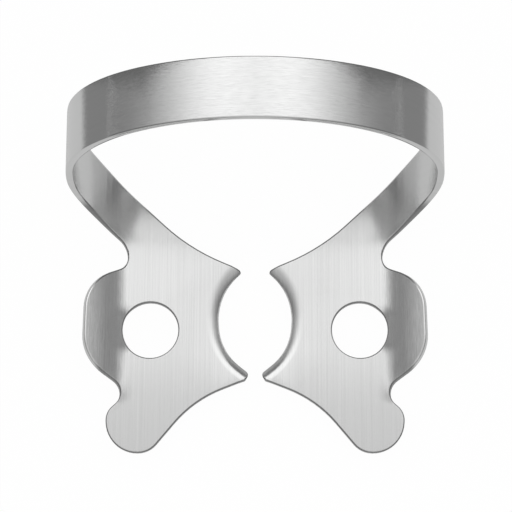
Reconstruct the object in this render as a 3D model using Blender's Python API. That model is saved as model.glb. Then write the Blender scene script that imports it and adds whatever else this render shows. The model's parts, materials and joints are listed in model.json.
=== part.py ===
"""Rubber dam clamp: one stamped sheet of spring steel, folded into two jaws and a bow.

The half sheet is drawn flat. In the flat pattern x runs from the middle of the bite gap, along the jaw
and the leg, to the top of the bow, and y runs from the line of the forceps holes towards the bow. Each
point of the pattern is then carried onto the folded shape, the sheet gets its thickness and rounded
rim, and the half is mirrored. Sizes are in millimetres. The clamp stands on z = 0 under its middle.
"""

import math

import bmesh
import bpy
from mathutils import Vector
from mathutils.geometry import delaunay_2d_cdt

MM = 0.001

# Sheet
SHEET_THICKNESS = 0.55
EDGE_ROUNDING = 0.11

# Folded shape, at mid sheet
FOLD_LINE_X = 8.65
LOWER_BEND_RADIUS = 4.3
BOW_RISE = 11.85
BOW_LEAN = math.radians(2.9)

# Band of the bow
BAND_FRONT_Y = 9.83
BAND_WIDTH = 4.11
BAND_SHOULDER_X = 30.5

# Leg between the bow and the jaw
LEG_FRONT_X = 13.62
LEG_FRONT_RADIUS = 10.4
LEG_REAR_X = 13.85
LEG_REAR_FLARE = 0.59
LEG_REAR_RADIUS = 11.9
LEG_INNER_X = 4.6
LEG_INNER_Y = 5.91
LEG_INNER_RADIUS = 14.3

# Forceps hole
HOLE_X = 7.46
HOLE_DIAMETER = 4.0

# Notch between the leg and the wing
REAR_NOTCH_LEG_X = 9.23
REAR_NOTCH_LEG_Y = 6.16
REAR_NOTCH_LEG_RADIUS = 1.8
REAR_NOTCH_WING_X = 9.07
REAR_NOTCH_WING_Y = 4.71
REAR_NOTCH_WING_RADIUS = 0.95

# Wing beside the hole, bent up
WING_REAR_X = 12.02
WING_REAR_Y = 3.37
WING_REAR_RADIUS = 3.2
WING_FRONT_X = 12.13
WING_FRONT_Y = -2.27
WING_FRONT_RADIUS = 3.1
WING_BEND_RADIUS = 3.0
WING_ANGLE = math.radians(32.0)
WING_EASE_RADIUS = 11.0
WING_FLAT_REAR_Y = 5.66
WING_FULL_REAR_Y = 4.56
WING_FULL_FRONT_Y = -4.04
WING_FLAT_FRONT_Y = -5.24

# Notch between the wing and the tail lobe
FRONT_NOTCH_X = 8.86
FRONT_NOTCH_Y = -4.41
FRONT_NOTCH_RADIUS = 1.03

# Tail lobe
TAIL_OUTER_X = 10.55
TAIL_OUTER_Y = -5.84
TAIL_OUTER_RADIUS = 1.3
TAIL_END_X = 10.36
TAIL_END_Y = -8.76
TAIL_END_RADIUS = 2.24
TAIL_INNER_X = 7.42
TAIL_INNER_Y = -8.72
TAIL_INNER_RADIUS = 1.7

# Long curved side from the tail lobe to the front prong
FRONT_SIDE_X = 4.3
FRONT_SIDE_Y = -5.0
FRONT_SIDE_RADIUS = 8.4

# Prongs, as the corners that their tips are rounded from
FRONT_PRONG_X = 0.25
FRONT_PRONG_Y = -3.41
FRONT_PRONG_RADIUS = 0.34
REAR_PRONG_X = 1.0
REAR_PRONG_Y = 4.42
REAR_PRONG_RADIUS = 0.15

# Bite edge between the prongs, drawn with three fillets and rolled down
BITE_FRONT_X = 2.61
BITE_FRONT_Y = -1.52
BITE_FRONT_RADIUS = 4.0
BITE_MIDDLE_X = 2.77
BITE_MIDDLE_Y = 0.9
BITE_MIDDLE_RADIUS = 3.4
BITE_REAR_X = 2.57
BITE_REAR_Y = 2.91
BITE_REAR_RADIUS = 4.4
ROLL_WIDTH_REAR = 0.75
ROLL_WIDTH_FRONT = 0.7
ROLL_ANGLE = math.radians(50.0)

# Fineness of the faceted surface
CHORD_ERROR = 0.005
PRONG_STEPS = 4
LOWER_BEND_STEPS = 15
BOW_STEPS = 28
ROLL_ROWS = 5
WING_ROWS = 10
WING_FADE_ROWS = 4
RIM_ROWS = 3
BORDER_WIDTH = 0.24
LONGEST_CELL = 1.0
SAME_POINT = 0.0001
MIRROR_MERGE = 0.00001
SHARP_ANGLE = math.radians(50.0)

BOW_HALF_WIDTH = FOLD_LINE_X + LOWER_BEND_RADIUS
LOWER_BEND_LENGTH = LOWER_BEND_RADIUS * math.pi / 2
BOW_QUARTER_LENGTH = math.pi / 2 * math.sqrt((BOW_HALF_WIDTH**2 + BOW_RISE**2) / 2)
BOW_START_X = FOLD_LINE_X + LOWER_BEND_LENGTH
PATTERN_END_X = BOW_START_X + BOW_QUARTER_LENGTH
BAND_REAR_Y = BAND_FRONT_Y + BAND_WIDTH
LEG_REAR_Y = BAND_REAR_Y + LEG_REAR_FLARE
BEND_ERROR = CHORD_ERROR * 2
SLOPE_REACH = EDGE_ROUNDING / 10
ROLL_CLEARANCE = EDGE_ROUNDING * 1.3
GRID_CLEARANCE = BORDER_WIDTH * 1.4
ROW_CLEARANCE = BORDER_WIDTH * 0.9
ROW_SPACING = BORDER_WIDTH / 3


def fillet(before, corner, after, radius):
    """The arc that rounds a corner of the outline, as points."""
    way_in = (before - corner).normalized()
    way_out = (after - corner).normalized()
    half_angle = way_in.angle(way_out) / 2
    centre = corner + (way_in + way_out).normalized() * (radius / math.sin(half_angle))
    first = corner + way_in * (radius / math.tan(half_angle)) - centre
    last = corner + way_out * (radius / math.tan(half_angle)) - centre
    sweep = math.copysign(math.pi - 2 * half_angle, first.cross(last))
    steps = max(3, math.ceil(abs(sweep) / (2 * math.acos(1 - CHORD_ERROR / radius))))
    square = Vector((-first.y, first.x))
    points = []
    for step in range(steps + 1):
        turn = sweep * step / steps
        points.append(centre + first * math.cos(turn) + square * math.sin(turn))
    return points


def radius_for(before, corner, after, tangent_length):
    """The radius of the arc that starts at this distance from a corner of the outline."""
    return tangent_length * math.tan((before - corner).angle(after - corner) / 2)


def outline_corners():
    """The corners of the half sheet with their radii, from the bow's top along its front edge and back."""
    leg_rear = Vector((LEG_REAR_X, LEG_REAR_Y))
    shoulder = Vector((BAND_SHOULDER_X, BAND_REAR_Y))
    rear_end = Vector((PATTERN_END_X, BAND_REAR_Y))
    shoulder_radius = radius_for(leg_rear, shoulder, rear_end, PATTERN_END_X - BAND_SHOULDER_X)
    return [
        (Vector((PATTERN_END_X, BAND_FRONT_Y)), 0.0),
        (Vector((LEG_FRONT_X, BAND_FRONT_Y)), LEG_FRONT_RADIUS),
        (Vector((REAR_NOTCH_LEG_X, REAR_NOTCH_LEG_Y)), REAR_NOTCH_LEG_RADIUS),
        (Vector((REAR_NOTCH_WING_X, REAR_NOTCH_WING_Y)), REAR_NOTCH_WING_RADIUS),
        (Vector((WING_REAR_X, WING_REAR_Y)), WING_REAR_RADIUS),
        (Vector((WING_FRONT_X, WING_FRONT_Y)), WING_FRONT_RADIUS),
        (Vector((FRONT_NOTCH_X, FRONT_NOTCH_Y)), FRONT_NOTCH_RADIUS),
        (Vector((TAIL_OUTER_X, TAIL_OUTER_Y)), TAIL_OUTER_RADIUS),
        (Vector((TAIL_END_X, TAIL_END_Y)), TAIL_END_RADIUS),
        (Vector((TAIL_INNER_X, TAIL_INNER_Y)), TAIL_INNER_RADIUS),
        (Vector((FRONT_SIDE_X, FRONT_SIDE_Y)), FRONT_SIDE_RADIUS),
        (Vector((FRONT_PRONG_X, FRONT_PRONG_Y)), FRONT_PRONG_RADIUS),
        (Vector((BITE_FRONT_X, BITE_FRONT_Y)), BITE_FRONT_RADIUS),
        (Vector((BITE_MIDDLE_X, BITE_MIDDLE_Y)), BITE_MIDDLE_RADIUS),
        (Vector((BITE_REAR_X, BITE_REAR_Y)), BITE_REAR_RADIUS),
        (Vector((REAR_PRONG_X, REAR_PRONG_Y)), REAR_PRONG_RADIUS),
        (Vector((LEG_INNER_X, LEG_INNER_Y)), LEG_INNER_RADIUS),
        (leg_rear, LEG_REAR_RADIUS),
        (shoulder, shoulder_radius),
        (rear_end, 0.0),
    ]


def sheet_outline():
    """The outline of the half sheet as points."""
    corners = outline_corners()
    outline = []
    for index, (corner, radius) in enumerate(corners):
        before = corners[index - 1][0]
        after = corners[(index + 1) % len(corners)][0]
        outline.extend(fillet(before, corner, after, radius) if radius else [corner])
    return outline


def bite_line():
    """The bite edge from one prong to the other, as it would be if the prongs were sharp."""
    corners = [
        Vector((FRONT_PRONG_X, FRONT_PRONG_Y)),
        Vector((BITE_FRONT_X, BITE_FRONT_Y)),
        Vector((BITE_MIDDLE_X, BITE_MIDDLE_Y)),
        Vector((BITE_REAR_X, BITE_REAR_Y)),
        Vector((REAR_PRONG_X, REAR_PRONG_Y)),
    ]
    line = []
    for index, radius in enumerate((BITE_FRONT_RADIUS, BITE_MIDDLE_RADIUS, BITE_REAR_RADIUS), 1):
        line.extend(fillet(corners[index - 1], corners[index], corners[index + 1], radius))
    shares = [step / PRONG_STEPS for step in range(PRONG_STEPS)]
    from_front = [corners[0].lerp(line[0], share) for share in shares]
    from_rear = [corners[-1].lerp(line[-1], share) for share in shares]
    return from_front + line + from_rear[::-1]


def distance_to(points, place, closed):
    """The shortest distance from a place to a chain of straight pieces."""
    nearest = math.inf
    for index in range(0 if closed else 1, len(points)):
        start = points[index - 1]
        along = points[index] - start
        share = (place - start).dot(along) / along.length_squared
        foot = start + along * min(max(share, 0.0), 1.0)
        nearest = min(nearest, (place - foot).length)
    return nearest


def is_inside(points, place):
    """Whether a place lies inside a closed chain of straight pieces."""
    inside = False
    for index in range(len(points)):
        one = points[index - 1]
        other = points[index]
        if (one.y > place.y) != (other.y > place.y):
            crossing = one.x + (place.y - one.y) / (other.y - one.y) * (other.x - one.x)
            inside ^= place.x < crossing
    return inside


def eased(start, end, value):
    """A soft step from 0 at start to 1 at end."""
    share = min(max((value - start) / (end - start), 0.0), 1.0)
    return share * share * (3 - 2 * share)


def arc_height(radius, run):
    """How far an arc has left its tangent after a run along that tangent."""
    return radius - math.sqrt(radius * radius - run * run)


def wing_height(x, y):
    """How high the wing is bent up, fading out towards the leg and the tail lobe."""
    run = max(x - FOLD_LINE_X, 0.0)
    bend_run = min(run, WING_BEND_RADIUS * math.sin(WING_ANGLE))
    rest = run - bend_run
    height = arc_height(WING_BEND_RADIUS, bend_run) + rest * math.tan(WING_ANGLE)
    height -= arc_height(WING_EASE_RADIUS, rest)
    fade_rear = eased(WING_FLAT_REAR_Y, WING_FULL_REAR_Y, y)
    fade_front = eased(WING_FLAT_FRONT_Y, WING_FULL_FRONT_Y, y)
    return height * fade_rear * fade_front


def roll_width(y):
    """The width of the strip along the bite edge that is rolled down."""
    share = (y - BITE_FRONT_Y) / (BITE_REAR_Y - BITE_FRONT_Y)
    return ROLL_WIDTH_FRONT + (ROLL_WIDTH_REAR - ROLL_WIDTH_FRONT) * min(max(share, 0.0), 1.0)


def roll_drop(bite, x, y):
    """How far the bite edge is rolled down at a point of the pattern."""
    width = roll_width(y)
    run = width - distance_to(bite, Vector((x, y)), closed=False)
    return arc_height(width / math.sin(ROLL_ANGLE), run) if run > 0 else 0.0


def mid_sheet(bite, x, y):
    """The folded place of a point of the pattern, at mid sheet."""
    past_fold = x - FOLD_LINE_X
    past_bend = past_fold - LOWER_BEND_LENGTH
    if past_fold <= 0:
        across, height = x, 0.0
    elif past_bend <= 0:
        turn = past_fold / LOWER_BEND_RADIUS
        across = FOLD_LINE_X + LOWER_BEND_RADIUS * math.sin(turn)
        height = LOWER_BEND_RADIUS * (1 - math.cos(turn))
    else:
        turn = past_bend / BOW_QUARTER_LENGTH * math.pi / 2
        across = BOW_HALF_WIDTH * math.cos(turn)
        height = LOWER_BEND_RADIUS + BOW_RISE * math.sin(turn)
    jaw = eased(WING_FLAT_REAR_Y, WING_FULL_REAR_Y, y)
    if jaw > 0 and past_fold > 0:
        across += (x - across) * jaw
        height -= height * jaw
        height += wing_height(x, y)
    if past_fold < 0:
        height -= roll_drop(bite, x, y)
    return Vector((across, y + height * math.tan(BOW_LEAN), height))


def folded(bite, x, y, offset):
    """The folded place of a point that lies off mid sheet."""
    along = mid_sheet(bite, x + SLOPE_REACH, y) - mid_sheet(bite, x - SLOPE_REACH, y)
    across = mid_sheet(bite, x, y + SLOPE_REACH) - mid_sheet(bite, x, y - SLOPE_REACH)
    return mid_sheet(bite, x, y) + along.cross(across).normalized() * offset


def fold_stations():
    """The places along the pattern where the leg and the bow get a row of points."""
    stations = []
    for step in range(LOWER_BEND_STEPS + 1):
        stations.append(FOLD_LINE_X + LOWER_BEND_LENGTH * step / LOWER_BEND_STEPS)
    for step in range(1, BOW_STEPS):
        stations.append(BOW_START_X + BOW_QUARTER_LENGTH * step / BOW_STEPS)
    return stations


def split_at_stations(outline, stations):
    """The outline with a point at each station on the leg and the bow, and no others past the notch."""
    points = []
    for index in range(len(outline)):
        start = outline[index - 1]
        end = outline[index]
        crossings = []
        for station in stations:
            if min(start.y, end.y) > WING_FLAT_REAR_Y and (start.x - station) * (end.x - station) < 0:
                crossings.append(start.lerp(end, (station - start.x) / (end.x - start.x)))
        crossings.sort(key=lambda place: (place - start).length)
        points.extend(crossings)
        past_notch = end.x > REAR_NOTCH_LEG_X + REAR_NOTCH_LEG_RADIUS and end.y > WING_FLAT_REAR_Y
        at_top = end.x > PATTERN_END_X - CHORD_ERROR
        repeated = (outline[(index + 1) % len(outline)] - end).length < CHORD_ERROR
        if (at_top or not past_notch) and not repeated:
            points.append(end)
    return points


def split_where_bent(bite, start, end):
    """The points to add between two neighbours of the outline so that chords follow the folded edge."""
    middle = start.lerp(end, 0.5)
    chord_middle = mid_sheet(bite, *start).lerp(mid_sheet(bite, *end), 0.5)
    if (mid_sheet(bite, *middle) - chord_middle).length < BEND_ERROR:
        return []
    return split_where_bent(bite, start, middle) + [middle] + split_where_bent(bite, middle, end)


def hole_outline():
    steps = math.ceil(math.pi / math.acos(1 - CHORD_ERROR / (HOLE_DIAMETER / 2)))
    centre = Vector((HOLE_X, 0.0))
    points = []
    for step in range(steps):
        turn = math.tau * step / steps
        points.append(centre + Vector((math.cos(turn), math.sin(turn))) * (HOLE_DIAMETER / 2))
    return points


def border_row(rim, stations):
    """A row of points beside the rim, so that the wide faces end in a narrow and even strip."""
    row = []
    for index, place in enumerate(rim):
        along = (rim[(index + 1) % len(rim)] - rim[index - 1]).normalized()
        inwards = Vector((along.y, -along.x)) * BORDER_WIDTH
        off_station = min(abs(place.x - station) for station in stations)
        on_leg = place.y > WING_FLAT_REAR_Y and abs(along.x) > abs(along.y) / 2
        if on_leg and off_station < CHORD_ERROR:
            inwards = Vector((0.0, BORDER_WIDTH / -along.x))
        row.append(place + inwards)
    return row


def roll_lines(bite):
    """Rows of points along the rolled bite edge."""
    lines = []
    for row in range(1, ROLL_ROWS + 1):
        line = []
        for index in range(1, len(bite) - 1):
            along = (bite[index + 1] - bite[index - 1]).normalized()
            inwards = Vector((along.y, -along.x))
            line.append(bite[index] + inwards * (roll_width(bite[index].y) * row / ROLL_ROWS))
        lines.append(line)
    return lines


def wing_lines():
    """The wing's grid, as columns along the fold line."""
    wing_width = max(WING_REAR_X, WING_FRONT_X) - FOLD_LINE_X
    fade_front = WING_FULL_FRONT_Y - WING_FLAT_FRONT_Y
    fade_rear = WING_FLAT_REAR_Y - WING_FULL_REAR_Y
    rows = [WING_FLAT_FRONT_Y + fade_front * step / WING_FADE_ROWS for step in range(WING_FADE_ROWS)]
    plain = WING_FULL_REAR_Y - WING_FULL_FRONT_Y
    plain_rows = math.ceil(plain / LONGEST_CELL)
    rows += [WING_FULL_FRONT_Y + plain * step / plain_rows for step in range(plain_rows)]
    rows += [WING_FULL_REAR_Y + fade_rear * step / WING_FADE_ROWS for step in range(WING_FADE_ROWS + 1)]
    lines = []
    for step in range(WING_ROWS):
        x = FOLD_LINE_X + wing_width * step / WING_ROWS
        lines.append([Vector((x, y)) for y in rows])
    return lines


class FlatSheet:
    """The half sheet in the flat pattern, as points and the lines that its triangles follow."""

    def __init__(self, outline, hole, bite):
        self.outline = outline
        self.hole = hole
        self.bite = bite
        self.points = outline + hole
        self.edges = []

    def clearance(self, place):
        """How far a place lies inside the sheet from its rim, or 0 outside it."""
        if is_inside(self.hole, place) or not is_inside(self.outline, place):
            return 0.0
        to_outline = distance_to(self.outline, place, closed=True)
        return min(to_outline, distance_to(self.hole, place, closed=True))

    def on_roll(self, place):
        return distance_to(self.bite, place, closed=False) < roll_width(place.y) * (1 + 1 / ROLL_ROWS)

    def add_line(self, line, margin):
        """A guide line, left out where it comes nearer to the rim than the margin."""
        previous = None
        for place in line:
            if self.clearance(place) < margin:
                previous = None
                continue
            self.points.append(place)
            if previous is not None:
                self.edges.append((previous, len(self.points) - 1))
            previous = len(self.points) - 1

    def add_row(self, row, margin):
        """Loose points beside the rim, left out where they crowd each other or lie on the rolled edge."""
        last = None
        for place in row:
            crowded = last is not None and (place - last).length < ROW_SPACING
            if crowded or self.clearance(place) < margin or self.on_roll(place):
                continue
            self.points.append(place)
            last = place

    def add_station(self, station):
        """A line right across the leg or the bow, which the rim cuts to length."""
        ends = (WING_FLAT_REAR_Y, LEG_REAR_Y + BAND_WIDTH)
        self.points += [Vector((station, y)) for y in ends]
        self.edges.append((len(self.points) - 2, len(self.points) - 1))

    def triangles(self):
        """The sheet's points and triangles, with the hole left open."""
        rim_count = len(self.outline)
        rims = [list(range(rim_count)), list(range(rim_count, rim_count + len(self.hole)))]
        made = delaunay_2d_cdt(self.points, self.edges, rims, 1, SAME_POINT)
        return made[0], [face for face, rim in zip(made[2], made[5]) if 1 not in rim]


def flat_triangles(outline, hole, bite, stations):
    """The flat half sheet as points and triangles."""
    sheet = FlatSheet(outline, hole, bite)
    for station in stations:
        sheet.add_station(station)
    for line in roll_lines(bite):
        sheet.add_line(line, ROLL_CLEARANCE)
    for line in wing_lines():
        sheet.add_line(line, GRID_CLEARANCE)
    for rim in (outline, hole):
        sheet.add_row(border_row(rim, stations), ROW_CLEARANCE)
    return sheet.triangles()


def rim_profile():
    """The rim's rows from one face of the sheet to the other, as insets from the outline and offsets."""
    rows = []
    for row in range(RIM_ROWS + 1):
        turn = math.pi / 2 * row / RIM_ROWS
        inset = EDGE_ROUNDING * (1 - math.sin(turn))
        offset = SHEET_THICKNESS / 2 - EDGE_ROUNDING * (1 - math.cos(turn))
        rows.append((inset, offset))
    return rows + [(inset, -offset) for inset, offset in reversed(rows)]


def outward_steps(points, triangles):
    """For each rim point of the flat sheet, the next point along the rim and the outward step."""
    sides = set()
    for one, two, three in triangles:
        sides |= {(one, two), (two, three), (three, one)}
    following = {start: end for start, end in sides if (end, start) not in sides}
    leading = {end: start for start, end in following.items()}
    outward = {}
    for point, after in following.items():
        normals = []
        for start, end in ((leading[point], point), (point, after)):
            on_end = min(points[start].x, points[end].x) > PATTERN_END_X - CHORD_ERROR
            if not on_end:
                along = (points[end] - points[start]).normalized()
                normals.append(Vector((along.y, -along.x)))
        total = normals[0] + normals[-1]
        outward[point] = total / (1 + normals[0].dot(normals[-1])) if total.length else total
    return following, outward


def half_clamp():
    """The folded half sheet as a mesh, open only at the top of the bow where its mirror image joins."""
    bite = bite_line()
    stations = fold_stations()
    outline = split_at_stations(sheet_outline(), stations)
    fine = []
    for index in range(len(outline)):
        fine.extend(split_where_bent(bite, outline[index - 1], outline[index]))
        fine.append(outline[index])
    points, triangles = flat_triangles(fine, hole_outline(), bite, stations)
    following, outward = outward_steps(points, triangles)
    mesh = bmesh.new()
    rows = []
    for inset, offset in rim_profile():
        row = {}
        for point, step in outward.items():
            place = points[point] - step * inset
            row[point] = mesh.verts.new(folded(bite, place.x, place.y, offset) * MM)
        rows.append(row)
    inner = {point for triangle in triangles for point in triangle} - set(outward)
    for row, offset in ((rows[0], SHEET_THICKNESS / 2), (rows[-1], -SHEET_THICKNESS / 2)):
        for point in sorted(inner):
            place = points[point]
            row[point] = mesh.verts.new(folded(bite, place.x, place.y, offset) * MM)
    for one, two, three in triangles:
        mesh.faces.new((rows[0][one], rows[0][two], rows[0][three]))
        mesh.faces.new((rows[-1][three], rows[-1][two], rows[-1][one]))
    for upper, lower in zip(rows, rows[1:]):
        for start, end in following.items():
            if min(points[start].x, points[end].x) < PATTERN_END_X - CHORD_ERROR:
                mesh.faces.new((upper[end], upper[start], lower[start], lower[end]))
    return mesh


def brushed_steel():
    material = bpy.data.materials.new("brushed_spring_steel")
    material.use_nodes = True
    shader = material.node_tree.nodes["Principled BSDF"]
    shader.inputs["Base Color"].default_value = (0.75, 0.75, 0.74, 1.0)
    shader.inputs["Metallic"].default_value = 1.0
    shader.inputs["Roughness"].default_value = 0.3
    return material


def build():
    for old in list(bpy.data.objects):
        bpy.data.objects.remove(old, do_unlink=True)
    form = half_clamp()
    lowest = min(vertex.co.z for vertex in form.verts)
    front = min(vertex.co.y for vertex in form.verts)
    rear = max(vertex.co.y for vertex in form.verts)
    bmesh.ops.translate(form, verts=form.verts, vec=(0.0, -(front + rear) / 2, -lowest))
    mesh = bpy.data.meshes.new("clamp")
    form.to_mesh(mesh)
    form.free()
    mesh.shade_smooth()
    mesh.set_sharp_from_angle(angle=SHARP_ANGLE)
    mesh.materials.append(brushed_steel())
    clamp = bpy.data.objects.new("clamp", mesh)
    bpy.context.scene.collection.objects.link(clamp)
    mirror = clamp.modifiers.new("Other half", "MIRROR")
    mirror.merge_threshold = MIRROR_MERGE


build()
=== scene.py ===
import json
import math

import bpy
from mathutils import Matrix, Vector

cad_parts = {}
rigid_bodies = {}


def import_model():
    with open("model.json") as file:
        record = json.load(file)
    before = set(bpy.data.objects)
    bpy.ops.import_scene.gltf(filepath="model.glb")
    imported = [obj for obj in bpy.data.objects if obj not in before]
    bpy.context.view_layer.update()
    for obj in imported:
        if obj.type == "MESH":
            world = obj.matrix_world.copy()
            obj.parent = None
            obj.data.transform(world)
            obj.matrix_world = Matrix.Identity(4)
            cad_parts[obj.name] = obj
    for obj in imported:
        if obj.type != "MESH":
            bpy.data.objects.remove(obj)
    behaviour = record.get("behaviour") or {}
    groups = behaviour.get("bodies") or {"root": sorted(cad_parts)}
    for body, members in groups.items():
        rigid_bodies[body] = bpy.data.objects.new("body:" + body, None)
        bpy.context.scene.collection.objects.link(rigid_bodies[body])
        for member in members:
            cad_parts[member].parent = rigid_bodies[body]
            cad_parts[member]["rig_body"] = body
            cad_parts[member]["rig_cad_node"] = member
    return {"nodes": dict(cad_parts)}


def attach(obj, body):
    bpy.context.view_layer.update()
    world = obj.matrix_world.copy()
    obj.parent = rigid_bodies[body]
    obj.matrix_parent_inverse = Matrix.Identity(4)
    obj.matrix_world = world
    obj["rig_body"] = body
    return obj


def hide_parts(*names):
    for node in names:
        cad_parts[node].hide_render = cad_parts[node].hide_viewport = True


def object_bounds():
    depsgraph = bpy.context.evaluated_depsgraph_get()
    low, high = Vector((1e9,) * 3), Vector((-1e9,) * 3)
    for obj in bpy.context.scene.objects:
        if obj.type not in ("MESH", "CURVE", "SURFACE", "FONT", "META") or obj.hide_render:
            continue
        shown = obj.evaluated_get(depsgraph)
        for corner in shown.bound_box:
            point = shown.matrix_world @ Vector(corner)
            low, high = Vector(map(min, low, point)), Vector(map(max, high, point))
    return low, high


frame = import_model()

cad_box = [list(corner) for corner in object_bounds()]

MM = 0.001

# The folded sheet, as the clamp's solid has it. X runs across the clamp and Y to the bow.
SHEET_THICKNESS = 0.55 * MM
FOLD_LINE_X = 8.65 * MM
LOWER_BEND_RADIUS = 4.3 * MM
BOW_RISE = 11.85 * MM
BOW_LEAN = math.radians(2.9)
LEG_CLEAR_Y = 2.6 * MM
BAND_CLEAR_Y = 5.6 * MM
WING_EDGE_X = 11.4 * MM
HOLE_X = 7.46 * MM
HOLE_Y = -3.0 * MM
HOLE_RADIUS = 2.0 * MM
BOW_HALF_WIDTH = FOLD_LINE_X + LOWER_BEND_RADIUS
LOWER_BEND_LENGTH = LOWER_BEND_RADIUS * math.pi / 2
BOW_QUARTER_LENGTH = math.pi / 2 * math.sqrt((BOW_HALF_WIDTH**2 + BOW_RISE**2) / 2)
BOW_TOP_LENGTH = FOLD_LINE_X + LOWER_BEND_LENGTH + BOW_QUARTER_LENGTH
JAW_MIDDLE_Z = cad_box[1][2] - SHEET_THICKNESS / 2 - BOW_RISE - LOWER_BEND_RADIUS

# How the solid's facets are joined, and those on a wide face told from those on the rounded rim
MERGE_DISTANCE = 0.001 * MM
WIDEST_RIM_STRIP = 0.065 * MM
SLIVER_WIDTH = 0.004 * MM
FLAT_CREASE = math.radians(8.0)
EDGE_ON = 0.5

# Camera. Its tilt is away from straight down, in radians, and its lens and sensor are in mm.
LOOK_AT = Vector((0.0633 * MM, 2.4395 * MM, JAW_MIDDLE_Z))
CAMERA_TILT = 0.230
CAMERA_DISTANCE = 122.3 * MM
CAMERA_LENS = 119.53
CAMERA_SENSOR = 36.0
CAMERA_CLIP = 1.0 * MM

# Steel
STEEL_LEVEL = 0.78
# Level of the painted shade on the sheet's rim, where its edges face dark surroundings
PAINTED_RIM_SHADE_LEVEL = 0.30
GREEN_CAST = 1.003
BAND_ROUGHNESS = 0.10
JAW_ROUGHNESS = 0.19

# Where the brushing turns from along the jaws to along the bow
BOW_START_Z = 1.0 * MM
BOW_FULL_Z = 1.9 * MM
LEG_START_Y = 2.4 * MM
LEG_FULL_Y = 3.2 * MM
BAND_START_Z = 3.0 * MM
BAND_FULL_Z = 6.0 * MM

# Grooves of the brushing
FINE_GROOVE = 0.004 * MM
COARSE_GROOVE = 0.07 * MM
GROOVE_STRETCH = 150.0
GROOVE_STAGGER = 0.618
GROOVE_DETAIL = 1.0
NOISE_MEAN = 0.5
JAW_FINE_SEED = 0.3
JAW_COARSE_SEED = 4.7
BAND_FINE_SEED = 8.1
BAND_COARSE_SEED = 12.9
JAW_FINE_TILT = 0.4
BAND_FINE_TILT = 1.0
COARSE_TILT = 0.015
JAW_SHADE = 0.14
BAND_SHADE = 0.07

# Where the shading leans further than the solid does, as the photo's bends do. A tilt is a slope.
FOLD_LEAD_START = 7.6 * MM
FOLD_LEAD_FULL = 8.9 * MM
FOLD_LEAD_END = 12.6 * MM
FOLD_LEAD_START_Y = 2.6 * MM
FOLD_LEAD_FULL_Y = 3.8 * MM
FOLD_LEAD_TILT = 0.17
HOLE_LEAD_START = HOLE_X + HOLE_RADIUS / 4
HOLE_LEAD_FULL = HOLE_X + HOLE_RADIUS
HOLE_LEAD_REACH = 1.1 * MM
HOLE_LEAD_HALF = 0.8 * MM
HOLE_LEAD_END = 2.2 * MM
HOLE_LEAD_TILT = 0.24
DIP_START_Y = 3.3 * MM
DIP_FULL_Y = 4.6 * MM
DIP_FADE = 0.6 * MM
DIP_TILT = 0.055

# Table, card, light tent, flags and net
TABLE_Z = -0.2 * MM
TABLE_SIZE = 3.0
TABLE_PAINT = 0.85
TABLE_GLOW = 0.97
CARD_Z = -0.05 * MM
CARD_RADIUS = 0.6
CARD_SIDES = 64
TENT_RADIUS = 1.0
TENT_SEGMENTS = 48
TENT_RINGS = 24
BOW_FLAG_BOTTOM = 1.0 * MM
BOW_FLAG_TOP = 17.4 * MM
BOW_FLAG_Y = 12.6 * MM
BOW_FLAG_WIDTH = 26.0 * MM
JAW_FLAG_BOTTOM = 4.8 * MM
JAW_FLAG_TOP = 30.0 * MM
JAW_FLAG_X = 3.5 * MM
JAW_FLAG_Y = -2.0 * MM
JAW_FLAG_WIDTH = 17.0 * MM
JAW_FLAG_LEAN = math.radians(10.0)
NET_Z = 30.0 * MM
NET_FRONT_Y = -16.0 * MM
NET_REAR_Y = 0.6 * MM
NET_FULL_Y = -4.0 * MM
NET_WIDTH = 40.0 * MM
NET_SHADE = 0.15

# How bright each is: where along it, from 0 to 1, and the level of grey there
TENT_SIDEWAYS = [
    (0.0, 1.18),
    (0.089, 1.25),
    (0.133, 1.21),
    (0.178, 1.09),
    (0.222, 0.90),
    (0.267, 0.71),
    (0.311, 0.55),
    (0.344, 0.44),
    (0.389, 0.35),
    (0.422, 0.31),
    (0.467, 0.28),
    (0.56, 0.25),
]
TENT_REARWARDS = [(0.0, 0.55), (0.14, 0.74), (0.33, 1.0)]
CARD_SHADES = [(0.0, 0.6), (0.051, 0.6), (0.057, 0.25), (1.0, 0.25)]
BOW_FLAG_SHADES = [(0.0, 0.47), (0.38, 0.45), (0.58, 0.14), (1.0, 0.16)]
JAW_FLAG_SHADES = [
    (0.0, 0.22),
    (0.044, 0.25),
    (0.143, 0.37),
    (0.242, 0.53),
    (0.365, 0.65),
    (0.524, 0.78),
    (0.683, 0.9),
    (0.84, 1.0),
    (1.0, 1.1),
]


def grey(level):
    return (level, level, level, 1.0)


class Value:
    """A shader socket that takes part in Python arithmetic."""

    def __init__(self, shader, socket):
        self.shader = shader
        self.socket = socket

    def math(self, operation, *others):
        inputs = dict(enumerate((self, *others)))
        return self.shader.node("ShaderNodeMath", {"operation": operation}, inputs)

    def __add__(self, other):
        return self.math("ADD", other)

    def __mul__(self, other):
        return self.math("MULTIPLY", other)

    def __sub__(self, other):
        return self.math("SUBTRACT", other)

    def __rsub__(self, other):
        return (self * -1.0).math("ADD", other)

    def __truediv__(self, other):
        return self.math("DIVIDE", other)

    def output(self, name):
        return Value(self.shader, self.socket.node.outputs[name])

    def soft_step(self, start, end):
        """0 below start, 1 above end and a soft rise between them."""
        return self.shader.node("ShaderNodeMapRange", {"interpolation_type": "SMOOTHSTEP"}, {
            "Value": self,
            "From Min": start,
            "From Max": end,
        })


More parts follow.
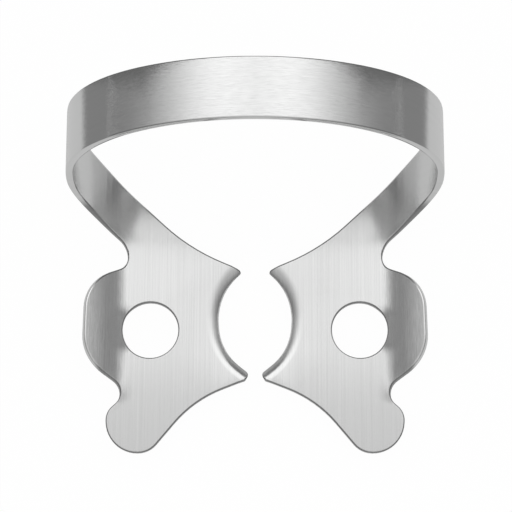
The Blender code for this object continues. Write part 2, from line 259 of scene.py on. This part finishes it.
class Shader:
    """The node tree of one material or world."""

    def __init__(self, owner):
        owner.use_nodes = True
        self.tree = owner.node_tree
        self.tree.nodes.clear()

    def node(self, kind, settings=None, inputs=None, output=0):
        """Adds a node, sets it, links or fills its inputs and gives one of its outputs."""
        made = self.tree.nodes.new(kind)
        for name, value in (settings or {}).items():
            setattr(made, name, value)
        for name, value in (inputs or {}).items():
            if isinstance(value, Value):
                self.tree.links.new(value.socket, made.inputs[name])
            else:
                made.inputs[name].default_value = value
        return Value(self, made.outputs[output]) if len(made.outputs) else None

    def object_place(self):
        return self.node("ShaderNodeTexCoord").output("Object")

    def geometry(self, name):
        return self.node("ShaderNodeNewGeometry").output(name)

    def parts(self, vector):
        split = self.node("ShaderNodeSeparateXYZ", {}, {0: vector})
        return [split.output(axis) for axis in "XYZ"]

    def vector(self, operation, *values, **named):
        inputs = dict(enumerate(values))
        inputs.update(named)
        return self.node("ShaderNodeVectorMath", {"operation": operation}, inputs)

    def leant(self, direction, way, amount):
        """The direction, with this amount of another added to it."""
        return self.vector("ADD", direction, self.vector("SCALE", way, Scale=amount))

    def ramp(self, stops, factor):
        """Greys that run from stop to stop along the factor."""
        made = self.node("ShaderNodeValToRGB", {}, {"Fac": factor})
        elements = made.socket.node.color_ramp.elements
        while len(elements) < len(stops):
            elements.new(0.5)
        for element, (position, level) in zip(elements, stops):
            element.position = position
            element.color = grey(level)
        return made

    def product(self, one, other):
        """Two colors multiplied. A color mix has its colors at inputs 6 and 7 and output 2."""
        settings = {"data_type": "RGBA", "blend_type": "MULTIPLY"}
        return self.node("ShaderNodeMix", settings, {0: 1.0, 6: one, 7: other}, output=2)

    def glow(self, color):
        return self.node("ShaderNodeEmission", {}, {"Color": color, "Strength": 1.0})

    def clear(self):
        return self.node("ShaderNodeBsdfTransparent", {}, {"Color": grey(1.0)})

    def mixed(self, factor, one, other):
        return self.node("ShaderNodeMixShader", {}, {0: factor, 1: one, 2: other})

    def surface(self, shown):
        self.node("ShaderNodeOutputMaterial", {}, {"Surface": shown})


def new_material(name):
    material = bpy.data.materials.new(name)
    return material, Shader(material)


def grooves(shader, across, along, width, seed):
    """Long narrow ridges and furrows, about 0 on average."""
    steps = across / width
    where = shader.node("ShaderNodeCombineXYZ", {}, {
        0: steps,
        1: along / (width * GROOVE_STRETCH) + steps * GROOVE_STAGGER,
        2: seed,
    })
    noise = shader.node("ShaderNodeTexNoise", {}, {
        "Vector": where,
        "Scale": 1.0,
        "Detail": GROOVE_DETAIL,
    })
    return noise - NOISE_MEAN


def sideways_lead(beside, y, off_band):
    """How far the shading leans to the side: on the legs' bends, and on the wings by the holes."""
    on_fold = beside.soft_step(FOLD_LEAD_START, FOLD_LEAD_FULL)
    on_fold = on_fold * (1.0 - beside.soft_step(FOLD_LEAD_FULL, FOLD_LEAD_END))
    on_fold = on_fold * y.soft_step(FOLD_LEAD_START_Y, FOLD_LEAD_FULL_Y) * off_band
    across, ahead = beside - HOLE_X, y - HOLE_Y
    from_hole = (across.math("POWER", 2.0) + ahead.math("POWER", 2.0)).math("SQRT")
    by_hole = 1.0 - from_hole.soft_step(HOLE_RADIUS, HOLE_RADIUS + HOLE_LEAD_REACH)
    by_hole = by_hole * beside.soft_step(HOLE_LEAD_START, HOLE_LEAD_FULL)
    by_hole = by_hole * (1.0 - ahead.math("ABSOLUTE").soft_step(HOLE_LEAD_HALF, HOLE_LEAD_END))
    return on_fold * FOLD_LEAD_TILT + by_hole * HOLE_LEAD_TILT


def rearwards_dip(beside, y, off_band):
    """How far the shading leans to the rear, on the flat before the legs' bends."""
    on_flat = 1.0 - beside.soft_step(FOLD_LINE_X - DIP_FADE, FOLD_LINE_X + DIP_FADE)
    return y.soft_step(DIP_START_Y, DIP_FULL_Y) * on_flat * off_band * DIP_TILT


def brushed_steel():
    """Stainless sheet with fine and coarse grooves, along the jaws and along the bow's band, with
    painted shade on its rim.
    """
    material, shader = new_material("brushed_spring_steel")
    grain = shader.node("ShaderNodeUVMap", {"uv_map": "grain"}).output("UV")
    along_band, along_jaw, _ = shader.parts(grain)
    x, y, z = shader.parts(shader.object_place())
    beside = x.math("ABSOLUTE")
    on_leg = y.soft_step(LEG_START_Y, LEG_FULL_Y)
    on_bow = z.soft_step(BOW_START_Z, BOW_FULL_Z) * on_leg
    on_band = z.soft_step(BAND_START_Z, BAND_FULL_Z)
    off_bow = 1.0 - on_bow
    off_band = 1.0 - on_band

    jaw_fine = grooves(shader, along_band, along_jaw, FINE_GROOVE, JAW_FINE_SEED)
    jaw_coarse = grooves(shader, along_band, along_jaw, COARSE_GROOVE, JAW_COARSE_SEED)
    band_fine = grooves(shader, along_jaw, along_band, FINE_GROOVE, BAND_FINE_SEED)
    band_coarse = grooves(shader, along_jaw, along_band, COARSE_GROOVE, BAND_COARSE_SEED)
    jaw_tilt = jaw_fine * JAW_FINE_TILT * off_band + jaw_coarse * COARSE_TILT * off_bow
    band_tilt = band_fine * BAND_FINE_TILT * on_band + band_coarse * COARSE_TILT * on_bow

    facing = shader.geometry("Normal")
    up_band = shader.node("ShaderNodeTangent", {"direction_type": "UV_MAP", "uv_map": "grain"})
    up_jaw = shader.vector("CROSS_PRODUCT", facing, up_band)
    outwards = x.math("SIGN") * shader.parts(facing)[2].math("SIGN")
    sheared = shader.node("ShaderNodeAttribute", {"attribute_name": "sheared"}, output="Fac")
    unsheared = 1.0 - sheared
    jaw_tilt = (jaw_tilt + sideways_lead(beside, y, off_band) * outwards) * unsheared
    band_tilt = (band_tilt + rearwards_dip(beside, y, off_band)) * unsheared
    tilted = shader.leant(facing, up_band, jaw_tilt)
    tilted = shader.leant(tilted, up_jaw, band_tilt)
    tilted = shader.vector("NORMALIZE", tilted)

    shade = jaw_coarse * off_bow * JAW_SHADE + band_coarse * on_bow * BAND_SHADE
    # Painted shade: the rim is painted much darker, apart from the wings' outer edges and the
    # bow's band
    wing_edge = beside.soft_step(WING_EDGE_X - SHEET_THICKNESS, WING_EDGE_X) * (1.0 - on_leg)
    before_band = 1.0 - y.soft_step(BAND_CLEAR_Y, BAND_CLEAR_Y + SHEET_THICKNESS)
    painted_rim_shade = sheared * before_band * (1.0 - wing_edge)
    level = shade + STEEL_LEVEL + painted_rim_shade * (PAINTED_RIM_SHADE_LEVEL - STEEL_LEVEL)
    color = shader.node("ShaderNodeCombineColor", {}, {0: level, 1: level * GREEN_CAST, 2: level})
    shader.surface(shader.node("ShaderNodeBsdfPrincipled", {}, {
        "Base Color": color,
        "Metallic": 1.0,
        "Roughness": on_band * (BAND_ROUGHNESS - JAW_ROUGHNESS) + JAW_ROUGHNESS,
        "Normal": tilted,
    }))
    return material


def pattern_length(corner):
    """How far a point of the folded sheet lies along the flat pattern from the bow's top."""
    across = abs(corner.x)
    height = corner.z - JAW_MIDDLE_Z
    if corner.y < LEG_CLEAR_Y or across < FOLD_LINE_X and height < LOWER_BEND_RADIUS:
        length = across
    elif height < LOWER_BEND_RADIUS:
        turn = math.atan2(across - FOLD_LINE_X, LOWER_BEND_RADIUS - height)
        length = FOLD_LINE_X + LOWER_BEND_RADIUS * turn
    else:
        turn = math.atan2((height - LOWER_BEND_RADIUS) / BOW_RISE, across / BOW_HALF_WIDTH)
        length = FOLD_LINE_X + LOWER_BEND_LENGTH + BOW_QUARTER_LENGTH * turn / (math.pi / 2)
    return math.copysign(BOW_TOP_LENGTH - length, corner.x)


def lay_grain(sheet):
    """The grain's own map: along the pattern, and along the jaws."""
    grain = sheet.data.uv_layers.new(name="grain")
    for loop in sheet.data.loops:
        corner = sheet.data.vertices[loop.vertex_index].co
        lean = (corner.z - JAW_MIDDLE_Z) * math.tan(BOW_LEAN)
        grain.data[loop.index].uv = (pattern_length(corner), corner.y - lean)


def wide_faces(mesh):
    """The triangles of the sheet's upper and lower face, without those of its rounded rim.

    They spread from the triangles wider than the sheet is thick, to each neighbour wider than
    any strip of the rim. On the jaws they also take in narrow ones that lie flush, and slivers.
    One that looks along Y is on the rim, because every fold of the sheet runs that way.
    """
    places = [vertex.co for vertex in mesh.vertices]
    beside = {}
    widths = []
    for face in mesh.polygons:
        longest = max((places[one] - places[other]).length for one, other in face.edge_keys)
        widths.append(face.area * 2 / longest)
        for edge in face.edge_keys:
            beside.setdefault(edge, []).append(face.index)
    waiting = [index for index, width in enumerate(widths) if width > SHEET_THICKNESS]
    found = set(waiting)
    while waiting:
        face = mesh.polygons[waiting.pop()]
        neighbours = {index for edge in face.edge_keys for index in beside[edge]}
        for index in neighbours - found:
            neighbour = mesh.polygons[index]
            width = widths[index]
            if abs(neighbour.normal.y) > EDGE_ON:
                continue
            on_jaw = neighbour.center.y < BAND_CLEAR_Y
            flush = face.normal.angle(neighbour.normal, 0.0) < FLAT_CREASE
            if width > WIDEST_RIM_STRIP or on_jaw and flush and width > SLIVER_WIDTH:
                found.add(index)
                waiting.append(index)
            elif on_jaw and width < SLIVER_WIDTH:
                found.add(index)
    return found


def shade_from_wide_faces(mesh):
    """Smooth shading, in which the rim takes up the wide faces' direction where it meets them.

    The attribute "sheared" is 1 at the points that only the rim has.
    """
    mesh.shade_smooth()
    places = [vertex.co for vertex in mesh.vertices]
    wide = wide_faces(mesh)
    wide_sums = [Vector() for _ in places]
    all_sums = [Vector() for _ in places]
    for face in mesh.polygons:
        corners = list(face.vertices)
        for index, corner in enumerate(corners):
            before = places[corners[index - 1]] - places[corner]
            after = places[corners[(index + 1) % len(corners)]] - places[corner]
            share = face.normal * before.angle(after, 0.0)
            all_sums[corner] += share
            if face.index in wide:
                wide_sums[corner] += share
    facing = [part if part.length else whole for part, whole in zip(wide_sums, all_sums)]
    mesh.normals_split_custom_set_from_vertices([direction.normalized() for direction in facing])
    sheared = mesh.attributes.new("sheared", "FLOAT", "POINT")
    for value, part in zip(sheared.data, wide_sums):
        value.value = 0.0 if part.length else 1.0


def clamp_sheet():
    """The folded sheet: the solid's own shape with its facets joined and shaded smooth."""
    bpy.ops.object.select_all(action="DESELECT")
    node = frame["nodes"]["clamp"]
    node.select_set(True)
    bpy.context.view_layer.objects.active = node
    bpy.ops.object.duplicate()
    sheet = bpy.context.active_object
    sheet.name = "clamp_sheet"
    sheet.data.name = "clamp_sheet"
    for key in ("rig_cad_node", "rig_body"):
        if key in sheet:
            del sheet[key]
    bpy.ops.object.mode_set(mode="EDIT")
    bpy.ops.mesh.select_all(action="SELECT")
    bpy.ops.mesh.remove_doubles(threshold=MERGE_DISTANCE)
    bpy.ops.object.mode_set(mode="OBJECT")
    shade_from_wide_faces(sheet.data)
    lay_grain(sheet)
    sheet.data.materials.clear()
    sheet.data.materials.append(brushed_steel())
    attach(sheet, "root")
    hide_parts("clamp")


def last_made(name, material):
    """The object that the last operator added, with its name and material."""
    made = bpy.context.active_object
    made.name = name
    made.data.materials.append(material)
    return made


def show_in_reflections_only(card):
    card.visible_camera = False
    card.visible_diffuse = False
    card.visible_transmission = False
    card.visible_volume_scatter = False
    card.visible_shadow = False


def hung_sheet(name, material, place, turns, width, height):
    """A plane of this width and height, which only reflections show."""
    bpy.ops.mesh.primitive_plane_add(size=1.0, location=place, rotation=turns)
    hung = last_made(name, material)
    hung.scale = (width, height, 1.0)
    bpy.ops.object.transform_apply(location=False, rotation=False, scale=True)
    show_in_reflections_only(hung)
    return hung


def table_and_backdrop():
    """A white table. The camera and the reflections see it white, apart from the shadow on it."""
    material, shader = new_material("white_table")
    rays = shader.node("ShaderNodeLightPath")
    shown = rays.output("Is Camera Ray").math("MAXIMUM", rays.output("Is Glossy Ray"))
    shown = shown.math("MAXIMUM", rays.output("Is Transmission Ray"))
    paint = shader.node("ShaderNodeBsdfDiffuse", {}, {"Color": grey(TABLE_PAINT)})
    shader.surface(shader.mixed(shown * TABLE_GLOW, paint, shader.glow(grey(1.0))))
    bpy.ops.mesh.primitive_plane_add(size=TABLE_SIZE, location=(0.0, 0.0, TABLE_Z))
    table = last_made("table", material)


def light_tent():
    """The tent that metal is photographed in: bright above and behind, dark round the sides."""
    material, shader = new_material("tent_cloth")
    x, y, z = shader.parts(shader.object_place())
    sideways = x.math("ABSOLUTE").math("ARCTAN2", z) * (1.0 / math.pi)
    round_sides = shader.ramp(TENT_SIDEWAYS, sideways)
    rearwards = shader.ramp(TENT_REARWARDS, y / TENT_RADIUS)
    shader.surface(shader.glow(shader.product(round_sides, rearwards)))
    bpy.ops.mesh.primitive_uv_sphere_add(
        segments=TENT_SEGMENTS, ring_count=TENT_RINGS, radius=TENT_RADIUS
    )
    tent = last_made("light_tent", material)
    show_in_reflections_only(tent)


def table_card():
    """The grey card under the clamp, which only its reflections show."""
    material, shader = new_material("table_card")
    reach = shader.vector("LENGTH", shader.object_place()).output("Value") / CARD_RADIUS
    shader.surface(shader.glow(shader.ramp(CARD_SHADES, reach)))
    bpy.ops.mesh.primitive_circle_add(
        vertices=CARD_SIDES, radius=CARD_RADIUS, fill_type="NGON", location=(0.0, 0.0, CARD_Z)
    )
    card = last_made("table_card", material)
    show_in_reflections_only(card)


def grey_flag(name, place, turns, width, height, shades):
    """A small flag, shaded from its foot to its top, and clear when it is seen from behind."""
    material, shader = new_material(name)
    up = shader.parts(shader.object_place())[1] / height + 0.5
    shade = shader.glow(shader.ramp(shades, up))
    shader.surface(shader.mixed(shader.geometry("Backfacing"), shade, shader.clear()))
    flag = hung_sheet(name, material, place, turns, width, height)


def grey_flags():
    """A flag behind the bow, which darkens the legs' bends, and one over each jaw for its wing."""
    height = BOW_FLAG_TOP - BOW_FLAG_BOTTOM
    place = (0.0, BOW_FLAG_Y, BOW_FLAG_BOTTOM + height / 2)
    turns = (math.pi / 2, 0.0, 0.0)
    grey_flag("bow_flag", place, turns, BOW_FLAG_WIDTH, height, BOW_FLAG_SHADES)
    height = JAW_FLAG_TOP - JAW_FLAG_BOTTOM
    slope = height / math.cos(JAW_FLAG_LEAN)
    from_middle = JAW_FLAG_X - math.tan(JAW_FLAG_LEAN) * height / 2
    for name, side in (("left_jaw_flag", -1.0), ("right_jaw_flag", 1.0)):
        place = (side * from_middle, JAW_FLAG_Y, JAW_FLAG_BOTTOM + height / 2)
        turns = (math.pi / 2 - JAW_FLAG_LEAN, 0.0, side * math.pi / 2)
        grey_flag(name, place, turns, JAW_FLAG_WIDTH, slope, JAW_FLAG_SHADES)


def tail_net():
    """A thin dark net high over the tail lobes, which takes a little of what they reflect."""
    material, shader = new_material("tail_net")
    middle = (NET_FRONT_Y + NET_REAR_Y) / 2
    cover = shader.node("ShaderNodeMapRange", {}, {
        "Value": shader.parts(shader.object_place())[1] + middle,
        "From Min": NET_REAR_Y,
        "From Max": NET_FULL_Y,
        "To Max": NET_SHADE,
    })
    shader.surface(shader.mixed(cover, shader.clear(), shader.glow(grey(0.0))))
    place, turns = (0.0, middle, NET_Z), (0.0, 0.0, 0.0)
    net = hung_sheet("tail_net", material, place, turns, NET_WIDTH, NET_REAR_Y - NET_FRONT_Y)


def studio():
    """A white room, even on every side."""
    world = bpy.data.worlds.new("studio")
    bpy.context.scene.world = world
    shader = Shader(world)
    glow = shader.node("ShaderNodeBackground", {}, {"Color": grey(1.0), "Strength": 1.0})
    shader.node("ShaderNodeOutputWorld", {}, {"Surface": glow})


def camera():
    away = Vector((0.0, -math.sin(CAMERA_TILT), math.cos(CAMERA_TILT)))
    bpy.ops.object.camera_add(
        location=LOOK_AT + away * CAMERA_DISTANCE, rotation=(CAMERA_TILT, 0.0, 0.0)
    )
    made = bpy.context.active_object
    made.data.lens = CAMERA_LENS
    made.data.sensor_width = CAMERA_SENSOR
    made.data.clip_start = CAMERA_CLIP
    bpy.context.scene.camera = made


clamp_sheet()
table_and_backdrop()
light_tent()
table_card()
grey_flags()
tail_net()
studio()
camera()
bpy.context.scene.view_settings.view_transform = "Standard"
